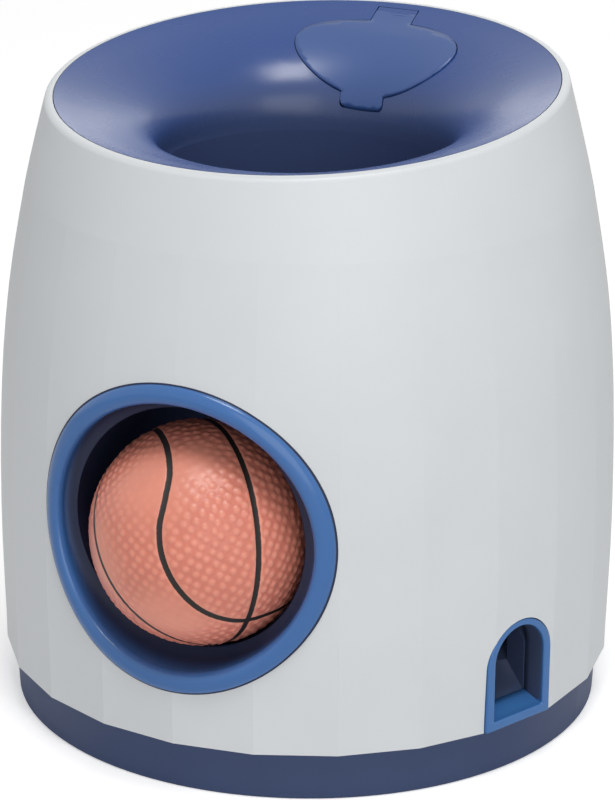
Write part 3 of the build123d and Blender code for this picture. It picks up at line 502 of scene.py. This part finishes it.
class PuzzleLidSettings(bpy.types.PropertyGroup):
    proud: bpy.props.FloatProperty(
        name="Stands proud", description="Height of the lid above the bell", default=0.45 * MM, unit="LENGTH")
    strap_width: bpy.props.FloatProperty(
        name="Strap width", description="Width of the lid's strap", default=12 * MM, unit="LENGTH")
    strap_place: bpy.props.FloatProperty(
        name="Strap place", description="Middle of the strap, sideways", default=-1 * MM, unit="LENGTH")
    heel_radius: bpy.props.FloatProperty(
        name="Heel radius", description="Reach of the heel from the hinge pin", default=3.25 * MM, unit="LENGTH")


class PUZZLE_OT_lid(bpy.types.Operator):
    """Lid that stands a little proud of the bell, with a heel that carries its strap on to the rim"""
    bl_idname = "puzzle.lid"
    bl_label = "Fill lid"

    def execute(self, context):
        s = context.scene.puzzle_lid
        self.leaf(s.proud)
        self.heel(s)
        return {"FINISHED"}

    def leaf(self, proud):
        """The modelled lid, raised square to the bell by a height that grows with distance from the hinge pin."""
        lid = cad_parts["fill_lid"]
        mesh = lid.data.copy()
        mesh.name = "fill_lid_proud"
        points = np.empty(len(mesh.vertices) * 3)
        mesh.vertices.foreach_get("co", points)
        points = points.reshape(-1, 3)
        away = np.hypot(points[:, 1] / MM - HINGE_PIN[0], points[:, 2] / MM - HINGE_PIN[1])
        grow = np.clip((away - 3) / 8, 0, 1)
        lift = (grow * grow * (3 - 2 * grow) * proud)[:, None] * np.array((0, -0.52, 0.85))
        mesh.vertices.foreach_set("co", (points + lift).ravel())
        shape = bmesh.new()
        shape.from_mesh(mesh)
        bmesh.ops.remove_doubles(shape, verts=shape.verts, dist=0.002 * MM)
        shape.to_mesh(mesh)
        shape.free()
        mesh.update()
        mesh.materials.clear()
        # A lighter blue than the bell: painted sheen of the lamp's highlight spreading over the lid
        mesh.materials.append(moulded_plastic("satin_abs_mid_blue_lid_painted_sheen", "3A5893", 0.36, 0.5, 0.008))
        piece = bpy.data.objects.new("fill_lid_proud", mesh)
        bpy.context.scene.collection.objects.link(piece)
        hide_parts("fill_lid")
        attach(piece, "lid")

    def heel(self, s):
        """A profile between the bell's surface and a circle round the hinge pin, carried across the strap."""
        half, place, reach = (v / MM for v in (s.strap_width / 2 - 0.06 * MM, s.strap_place, s.heel_radius))
        level = KNUCKLE_RADIUS - 0.02
        start = np.degrees(np.arcsin(level / reach))
        profile = np.concatenate([
            [(-0.6, level), (0.6, level), (1.6, level), (2.2, level)],
            arc((0, 0), reach, start, -20, 8), [(0.9, -0.6), (-0.6, 0.9)],
        ])
        across = np.array((-half, -half + 0.1, half - 0.1, half))
        narrow = np.array((0.98, 1, 1, 0.98))
        y = HINGE_PIN[0] + profile[:, 0] * BELL_SLOPE[0] - profile[:, 1] * BELL_SLOPE[1]
        z = HINGE_PIN[1] + profile[:, 0] * BELL_SLOPE[1] + profile[:, 1] * BELL_SLOPE[0]
        ring = np.stack([np.zeros_like(y), y, z], -1)
        middle = ring.mean(axis=0)
        rows = [np.broadcast_to(middle, ring.shape) + (across[0] + place, 0, 0)]
        for x, share in zip(across, narrow):
            rows.append(middle + (ring - middle) * share + (x + place, 0, 0))
        rows.append(np.broadcast_to(middle, ring.shape) + (across[-1] + place, 0, 0))
        points = np.stack(rows) * MM
        quads = outward(points, grid_quads(points.shape[0], points.shape[1], False, True))
        piece = mesh_object("lid_strap_heel", points, quads, bpy.data.materials["satin_abs_mid_blue"], smooth=False)
        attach(piece, "lid")


# Ball

def cube_sphere(steps):
    """Unit directions of a cube whose face coordinates are tangents of even angles, and its quads.

    Each face of the cube carries a square grid, and every point is divided by its length.
    """
    angle = np.linspace(-pi / 4, pi / 4, steps + 1)
    a, b = np.meshgrid(np.tan(angle), np.tan(angle), indexing="ij")
    one = np.ones_like(a)
    sides = [(one, a, b), (-one, b, a), (b, one, a), (a, -one, b), (a, b, one), (b, a, -one)]
    points = np.concatenate([np.stack(side, -1).reshape(-1, 3) for side in sides])
    points /= np.linalg.norm(points, axis=1, keepdims=True)
    index = np.arange((steps + 1) ** 2).reshape(steps + 1, steps + 1)
    quad = np.stack([index[:-1, :-1], index[1:, :-1], index[1:, 1:], index[:-1, 1:]], -1).reshape(-1, 4)
    quads = np.concatenate([quad + side * (steps + 1) ** 2 for side in range(6)])
    key = np.round(points, 6)
    unique, first, inverse = np.unique(key, axis=0, return_index=True, return_inverse=True)
    return points[first], inverse.ravel()[quads]


def even_directions(count):
    """Nearly even directions on a sphere: a golden-angle spiral from pole to pole, each point a little astray."""
    i = np.arange(count) + 0.5
    stray = np.random.default_rng(11).uniform(-0.49, 0.49, (2, count))
    height = 1 - 2 * (i + stray[0]) / count
    turn = pi * (1 + 5 ** 0.5) * i
    ring = np.sqrt(1 - height ** 2)
    turn += stray[1] * 1.6 / (np.sqrt(count) * ring)
    return np.stack([ring * np.cos(turn), ring * np.sin(turn), height], -1)


def nearest_angle(points, others, block=4000):
    """Angle from each direction to the nearest of the others, in blocks of whole arrays."""
    best = np.empty(len(points))
    for start in range(0, len(points), block):
        best[start:start + block] = (points[start:start + block] @ others.T).max(axis=1)
    return np.arccos(np.clip(best, -1, 1))


def closed_curve(directions, samples=1600):
    """Smooth closed curve on the sphere through these directions: a Catmull-Rom spline made unit length."""
    p = np.array(directions, float)
    t = np.linspace(0, len(p), samples, endpoint=False)
    i = t.astype(int)
    f = (t - i)[:, None]
    a, b, c, d = (p[(i + k) % len(p)] for k in (-1, 0, 1, 2))
    curve = 0.5 * (2 * b + (c - a) * f + (2 * a - 5 * b + 4 * c - d) * f ** 2 + (3 * b - a - 3 * c + d) * f ** 3)
    return curve / np.linalg.norm(curve, axis=1, keepdims=True)


class PuzzleBallSettings(bpy.types.PropertyGroup):
    steps: bpy.props.IntProperty(name="Mesh steps", description="Squares along each side of the mesh", default=126)
    pebble_spacing: bpy.props.FloatProperty(
        name="Pebble spacing", description="Distance between pebbles", default=2.75 * MM, unit="LENGTH")
    pebble_height: bpy.props.FloatProperty(
        name="Pebble height", description="How far a pebble stands up", default=0.29 * MM, unit="LENGTH")
    line_width: bpy.props.FloatProperty(
        name="Line width", description="Width of the dark lines", default=1.65 * MM, unit="LENGTH")
    line_depth: bpy.props.FloatProperty(
        name="Line depth", description="Depth of the grooves of the lines", default=0.22 * MM, unit="LENGTH")
    pebble_hex: bpy.props.StringProperty(name="Pebble colour", description="sRGB hex colour", default="E6937D")
    # Colour of the painted shade between the pebbles
    valley_shade_hex: bpy.props.StringProperty(name="Valley colour", description="sRGB hex colour", default="D67C69")
    line_hex: bpy.props.StringProperty(name="Line colour", description="sRGB hex colour", default="150D0B")


# Directions from the ball's centre that its lines pass through; the first curve winds like a tennis seam
WINDING_LINE = (
    (-0.533, 0.078, 0.842), (-0.209, -0.314, 0.926), (-0.014, -0.603, 0.798), (0.038, -0.797, 0.602),
    (0.044, -0.925, 0.376), (0.103, -0.985, 0.135), (0.230, -0.965, -0.125), (0.415, -0.833, -0.365),
    (0.637, -0.572, -0.517), (0.808, -0.264, -0.526), (0.847, 0.142, -0.512), (0.80, 0.50, -0.33),
    (0.55, 0.80, -0.24), (0.15, 0.96, -0.22), (-0.30, 0.92, -0.26), (-0.66, 0.70, -0.27), (-0.88, 0.44, 0.18),
    (-0.80, 0.22, 0.56),
)
ROUND_LINE_NORMAL = (0.636, 0.769, -0.063)
ROUND_LINE_OFFSET = 0.078
SEAM_NORMAL = (0.731, -0.363, 0.578)
SEAM_OFFSET = -0.185

# Where the pebbles are worn almost smooth: direction, and the angles in degrees where that ends
SMOOTH_SPOTS = (
    ((-0.146, -0.692, 0.707), 12, 32), ((0.16, -0.50, 0.85), 6, 22), ((0.087, -0.862, -0.500), 12, 28),
    ((-0.62, -0.72, -0.1), 12, 30),
)


def plane_distance(points, normal, offset):
    """Angle from each direction to the circle where a plane cuts the unit sphere."""
    n = np.array(normal) / np.linalg.norm(normal)
    return np.abs(np.arcsin(np.clip(points @ n, -1, 1)) - np.arcsin(offset))


class PUZZLE_OT_ball(bpy.types.Operator):
    """Soft ball: a sphere raised in round pebbles, with lines sunk in it"""
    bl_idname = "puzzle.ball"
    bl_label = "Treat ball"

    def execute(self, context):
        """Radius = ball radius - pebble height x (1 - dome) - groove, all by angle from seeds and lines."""
        settings = context.scene.puzzle_ball
        points, quads = cube_sphere(settings.steps)
        count = int(4 * pi * BALL_RADIUS ** 2 / (settings.pebble_spacing ** 2 * 0.866))
        away = nearest_angle(points, even_directions(count)) * BALL_RADIUS
        dome = np.clip(1 - (away / (settings.pebble_spacing * 0.42)) ** 2, 0, 1)
        winding = nearest_angle(points, closed_curve(WINDING_LINE)) * BALL_RADIUS
        ring = plane_distance(points, ROUND_LINE_NORMAL, ROUND_LINE_OFFSET) * BALL_RADIUS
        seam = plane_distance(points, SEAM_NORMAL, SEAM_OFFSET) * BALL_RADIUS
        line = np.minimum(winding, ring)
        beside = np.clip((line - settings.line_width * 0.5) / (0.9 * MM), 0, 1)
        beside *= np.clip((seam - 0.3 * MM) / (1.2 * MM), 0, 1)
        worn = np.ones(len(points))
        for spot, inner, outer in SMOOTH_SPOTS:
            angle = np.degrees(np.arccos(np.clip(points @ (np.array(spot) / np.linalg.norm(spot)), -1, 1)))
            worn = np.minimum(worn, 0.12 + 0.88 * np.clip((angle - inner) / (outer - inner), 0, 1))
        raised = dome * beside * worn
        groove = np.clip(1 - line / (settings.line_width * 0.62), 0, 1) ** 0.5
        cut = np.clip(1 - seam / (0.55 * MM), 0, 1)
        radius = BALL_RADIUS - settings.pebble_height * (1 - raised)
        radius -= settings.line_depth * groove + 0.25 * MM * cut
        piece = mesh_object(
            "treat_ball_pebbled", BALL_CENTRE + points * radius[:, None], quads, pebbled_rubber(settings))
        # Painted shade mask: low in the valleys between pebbles, high on their tops, beside the lines and where they
        # are worn smooth
        attribute(piece.data, "pebble", np.clip(raised + 1 - beside * worn * 0.9, 0, 1))
        attribute(piece.data, "line_mm", line / MM)
        attribute(piece.data, "seam_mm", seam / MM)
        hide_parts("treat_ball")
        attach(piece, "ball")
        return {"FINISHED"}


# Plain finishes for the modelled pieces

class PUZZLE_OT_finishes(bpy.types.Operator):
    """Gives every modelled piece the plastic, steel or rubber it is made of"""
    bl_idname = "puzzle.finishes"
    bl_label = "Finishes"

    def execute(self, context):
        shell = moulded_plastic("satin_abs_pale_grey", "D8DCDF", 0.42, 0.5, 0.012)
        # The bell's colour turns a greyer navy deep in its throat: painted shade
        bell = moulded_plastic(
            "satin_abs_mid_blue", "2C4C8D", 0.27, 0.5, 0.008, ior=1.48, deep=("42527C", 147, 165))
        ring = moulded_plastic("satin_abs_bright_blue", RING_HEX, 0.30, 0.5, 0.008)
        inner = moulded_plastic("satin_abs_dark_blue", "242C48", 0.45, 0.5, 0.010)
        chute = chute_plastic("satin_abs_blue_painted_shade_chute", ARCH_HEX, INSIDE_SHADE_HEX, radians(66.3), 86, 75)
        base = moulded_plastic("satin_abs_navy", "324369", 0.48, 0.5, 0.012, ior=1.46)
        white = moulded_plastic("moulded_acetal_white", "E6E6E0", 0.35, 0.6, 0.006)
        foot = moulded_plastic("moulded_dark_rubber", "26282C", 0.75, 0.5, 0.03)
        steel = turned_steel("zinc_plated_steel", "B4B7BA", 0.28)
        made_of = {
            shell: ("outer_shell",),
            bell: ("funnel", "fill_lid"),
            ring: ("ball_mouth_bezel", "treat_exit_frame"),
            inner: ("ball_chute", "treat_hopper"),
            chute: ("treat_chute",),
            base: ("base_tray",),
            white: ("trip_paddle", "treat_gate", "shaft_bush_left", "shaft_bush_right"),
            foot: ("rubber_feet",),
            steel: (
                "lid_hinge_pin", "trip_shaft", "shaft_clips", "counterweight", "shell_screws", "ball_chute_screws",
                "treat_chute_screws", "funnel_screws", "hopper_screws",
            ),
        }
        for material, names in made_of.items():
            for name in names:
                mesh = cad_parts[name].data
                mesh.materials.clear()
                mesh.materials.append(material)
        return {"FINISHED"}


# Stage

class PuzzleStageSettings(bpy.types.PropertyGroup):
    azimuth: bpy.props.FloatProperty(
        name="Azimuth", description="Camera turned from the mouth towards +X", default=radians(24.3), subtype="ANGLE")
    elevation: bpy.props.FloatProperty(
        name="Elevation", description="Camera above the horizon", default=radians(19.92), subtype="ANGLE")
    roll: bpy.props.FloatProperty(
        name="Roll", description="Turn about the line of sight", default=radians(0.385), subtype="ANGLE")
    distance: bpy.props.FloatProperty(
        name="Distance", description="Camera to aim point", default=0.9, unit="LENGTH")
    aim_side: bpy.props.FloatProperty(
        name="Aim sideways", description="Aim point right of the middle", default=-0.108 * MM, unit="LENGTH")
    aim_height: bpy.props.FloatProperty(
        name="Aim height", description="Aim point above the floor", default=81.72 * MM, unit="LENGTH")
    lens: bpy.props.FloatProperty(name="Lens", description="Focal length in mm on a 36 mm side", default=146.46)


def area_light(name, place, aim, size, power, colour):
    """Soft square lamp at a place that looks at a point."""
    light = bpy.data.lights.new(name, "AREA")
    light.shape = "RECTANGLE"
    light.size, light.size_y = size
    light.energy = power
    light.color = colour
    lamp = bpy.data.objects.new(name, light)
    lamp.location = place
    lamp.rotation_euler = (Vector(aim) - Vector(place)).to_track_quat("-Z", "Y").to_euler()
    bpy.context.scene.collection.objects.link(lamp)
    return lamp


class PUZZLE_OT_stage(bpy.types.Operator):
    """Pale floor, soft lamps and the camera"""
    bl_idname = "puzzle.stage"
    bl_label = "Studio"

    def execute(self, context):
        settings = context.scene.puzzle_stage
        self.camera(context, settings)
        self.floor()
        self.world(context)
        area_light("key_softbox", (0.29, -0.40, 1.40), (0, 0, 0.09), (0.52, 0.52), 9.0, (1.0, 0.99, 0.97))
        area_light("front_softbox", (0.90, -1.20, 0.52), (0, 0, 0.08), (1.2, 1.0), 5.5, (0.98, 0.99, 1.0))
        area_light("back_softbox", (-0.5, 1.7, 0.45), (0, 0, 0.08), (1.2, 1.0), 3.2, (0.98, 0.99, 1.0))
        context.scene.view_settings.view_transform = "Standard"
        return {"FINISHED"}

    def camera(self, context, s):
        """Places the camera on a sphere round the aim point, level but for a small roll."""
        a, e, r = s.azimuth, s.elevation, s.roll
        back = Vector((sin(a) * cos(e), -cos(a) * cos(e), sin(e)))
        right = Vector((cos(a), sin(a), 0))
        up = Vector((-sin(a) * sin(e), cos(a) * sin(e), cos(e)))
        side = right * cos(r) + up * sin(r)
        top = up * cos(r) - right * sin(r)
        eye = right * s.aim_side + Vector((0, 0, s.aim_height)) + back * s.distance
        data = bpy.data.cameras.new("studio_camera")
        data.lens = s.lens
        data.sensor_width = 36
        data.clip_start = 0.01
        camera = bpy.data.objects.new("studio_camera", data)
        turn = Matrix((side, top, back)).transposed().to_4x4()
        camera.matrix_world = Matrix.Translation(eye) @ turn
        context.scene.collection.objects.link(camera)
        context.scene.camera = camera

    def floor(self):
        """Round sheet of matt white paper under the object, a touch brighter where the camera sees it."""
        material, tree, output = new_material("matt_white_paper")
        paper = add(tree, "ShaderNodeBsdfDiffuse", None, {"Color": (0.9, 0.9, 0.9, 1.0)})
        glow = add(tree, "ShaderNodeEmission", None, {"Color": (1.0, 1.0, 1.0, 1.0), "Strength": 0.42})
        both = add(tree, "ShaderNodeAddShader")
        tree.links.new(paper.outputs["BSDF"], both.inputs[0])
        tree.links.new(glow.outputs["Emission"], both.inputs[1])
        path = add(tree, "ShaderNodeLightPath")
        seen = add(tree, "ShaderNodeMixShader", None, {"Fac": path.outputs["Is Camera Ray"]})
        tree.links.new(paper.outputs["BSDF"], seen.inputs[1])
        tree.links.new(both.outputs["Shader"], seen.inputs[2])
        tree.links.new(seen.outputs["Shader"], output.inputs["Surface"])
        turn = np.linspace(0, 2 * pi, 96, endpoint=False)
        points = np.stack([4 * np.cos(turn), 4 * np.sin(turn), 0 * turn], -1)
        mesh_object("floor", points, [list(range(96))], material, smooth=False)

    def world(self, context):
        """White where the camera or a reflection sees it, softer as light."""
        world = bpy.data.worlds.new("studio_sky")
        world.use_nodes = True
        context.scene.world = world
        tree = world.node_tree
        tree.nodes.clear()
        output = add(tree, "ShaderNodeOutputWorld")
        path = add(tree, "ShaderNodeLightPath")
        seen = add(tree, "ShaderNodeMath", {"operation": "MAXIMUM"})
        tree.links.new(path.outputs["Is Camera Ray"], seen.inputs[0])
        tree.links.new(path.outputs["Is Glossy Ray"], seen.inputs[1])
        level = add(tree, "ShaderNodeMapRange", None, {
            "Value": seen.outputs[0], "To Min": 0.38, "To Max": 1.0,
        })
        sky = add(tree, "ShaderNodeBackground", None, {
            "Color": (1.0, 1.0, 1.0, 1.0), "Strength": level.outputs["Result"],
        })
        tree.links.new(sky.outputs["Background"], output.inputs["Surface"])


class PUZZLE_PT_panel(bpy.types.Panel):
    """Lists the pieces of the puzzle"""
    bl_label = "Ball and treat puzzle"
    bl_idname = "PUZZLE_PT_panel"
    bl_space_type = "VIEW_3D"
    bl_region_type = "UI"
    bl_category = "Puzzle"

    def draw(self, context):
        for operator in OPERATORS:
            self.layout.operator(operator.bl_idname)
        for group in SETTINGS:
            settings = getattr(context.scene, group)
            for name in settings.__annotations__:
                self.layout.prop(settings, name)


OPERATORS = (
    PUZZLE_OT_finishes, PUZZLE_OT_mouth_ring, PUZZLE_OT_treat_arch, PUZZLE_OT_lid, PUZZLE_OT_ball,
    PUZZLE_OT_stage,
)
SETTINGS = {
    "puzzle_ring": PuzzleRingSettings, "puzzle_arch": PuzzleArchSettings, "puzzle_lid": PuzzleLidSettings,
    "puzzle_ball": PuzzleBallSettings, "puzzle_stage": PuzzleStageSettings,
}


def register():
    for cls in (*SETTINGS.values(), *OPERATORS, PUZZLE_PT_panel):
        bpy.utils.register_class(cls)
    for name, cls in SETTINGS.items():
        setattr(bpy.types.Scene, name, bpy.props.PointerProperty(type=cls))


def unregister():
    for name in SETTINGS:
        delattr(bpy.types.Scene, name)
    for cls in (PUZZLE_PT_panel, *reversed(OPERATORS), *SETTINGS.values()):
        bpy.utils.unregister_class(cls)


def main():
    register()
    bpy.ops.puzzle.finishes()
    bpy.ops.puzzle.mouth_ring()
    bpy.ops.puzzle.treat_arch()
    bpy.ops.puzzle.lid()
    bpy.ops.puzzle.ball()
    bpy.ops.puzzle.stage()


if __name__ == "__main__":
    main()
